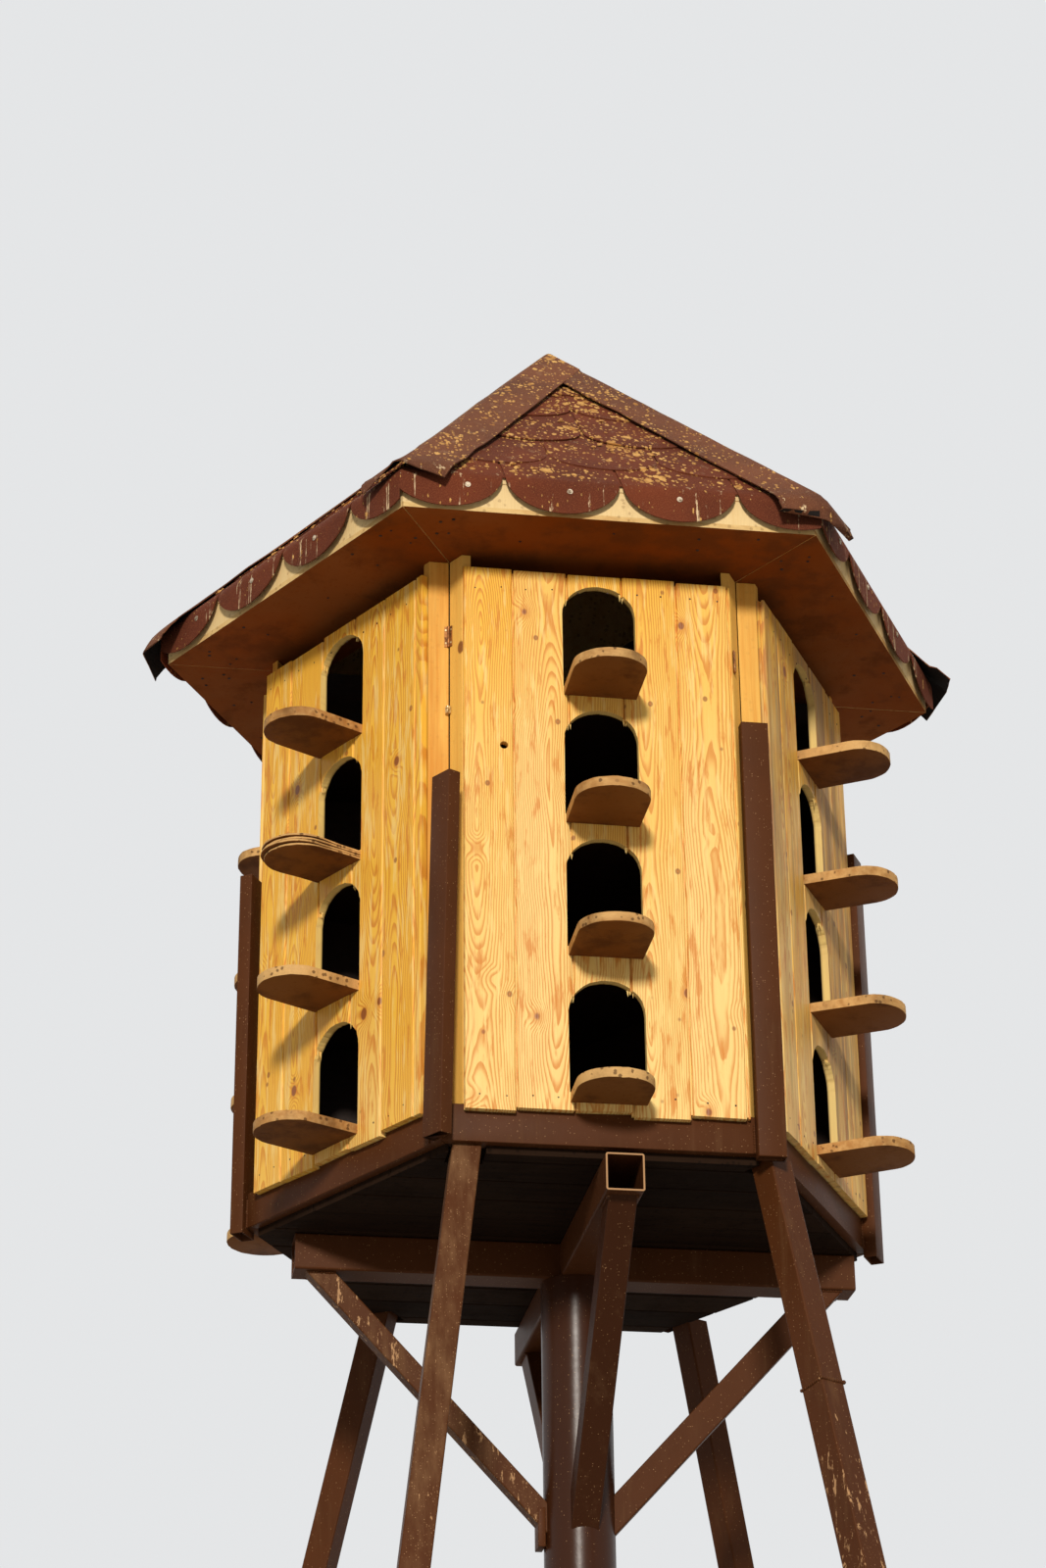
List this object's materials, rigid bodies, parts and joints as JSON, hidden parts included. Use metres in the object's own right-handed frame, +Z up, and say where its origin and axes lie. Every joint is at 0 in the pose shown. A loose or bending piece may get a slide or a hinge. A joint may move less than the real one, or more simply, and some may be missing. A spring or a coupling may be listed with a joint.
{
  "type": "dovecote",
  "caption": "Hexagonal wooden dovecote with arched pigeon holes, round-ended perches and a felt pyramid roof, raised on a steel pole with splayed legs.",
  "frame": {"origin": "on the ground, on the centre line of the pole", "axes": "+Z up, the front wall faces -Y, +X to the right seen from the front"},
  "size_m": [2.5322, 2.9209, 6.3027],
  "materials": {
    "stand_steel": "dark brown semi-gloss paint, dusty, rusty at the welds",
    "deck_planks": "dark unplaned planks",
    "wall_boards": "honey-coloured pine with orange grain, greying",
    "perch_wood": "weathered grey-brown edge, bare",
    "strip_wood": "knotty pine, greying",
    "nest_wood": "bare boards, darkened by use",
    "hinge_metal": "dull, tarnished",
    "soffit_wood": "orange-brown varnish",
    "roof_wood": "pale weathered board",
    "roof_felt": "red-brown mineral felt with yellow-grey lichen",
    "cap_felt": "greyer red-brown mineral felt"
  },
  "bodies": {
    "root": {"centre_pole": "stand_steel", "cross_arm": "stand_steel", "front_arm": "stand_steel", "rear_arm": "stand_steel", "front_brace": "stand_steel", "rear_brace": "stand_steel", "left_brace": "stand_steel", "right_brace": "stand_steel", "front_left_leg": "stand_steel", "front_right_leg": "stand_steel", "rear_right_leg": "stand_steel", "rear_left_leg": "stand_steel", "front_rail": "stand_steel", "front_right_rail": "stand_steel", "rear_right_rail": "stand_steel", "rear_rail": "stand_steel", "rear_left_rail": "stand_steel", "front_left_rail": "stand_steel", "front_post": "stand_steel", "front_right_post": "stand_steel", "rear_right_post": "stand_steel", "rear_post": "stand_steel", "rear_left_post": "stand_steel", "front_left_post": "stand_steel", "floor_deck": "deck_planks", "front_wall": "wall_boards", "front_right_wall": "wall_boards", "rear_right_wall": "wall_boards", "rear_wall": "wall_boards", "rear_left_wall": "wall_boards", "front_left_wall": "wall_boards", "front_perches": "perch_wood", "front_right_perches": "perch_wood", "rear_right_perches": "perch_wood", "rear_perches": "perch_wood", "rear_left_perches": "perch_wood", "front_left_perches": "perch_wood", "corner_strips": "strip_wood", "nest_boxes": "nest_wood", "hinges": "hinge_metal", "soffit": "soffit_wood", "fascia": "roof_wood", "roof_boards": "roof_wood", "felt": "roof_felt", "hip_caps": "cap_felt"}
  },
  "joints": []
}
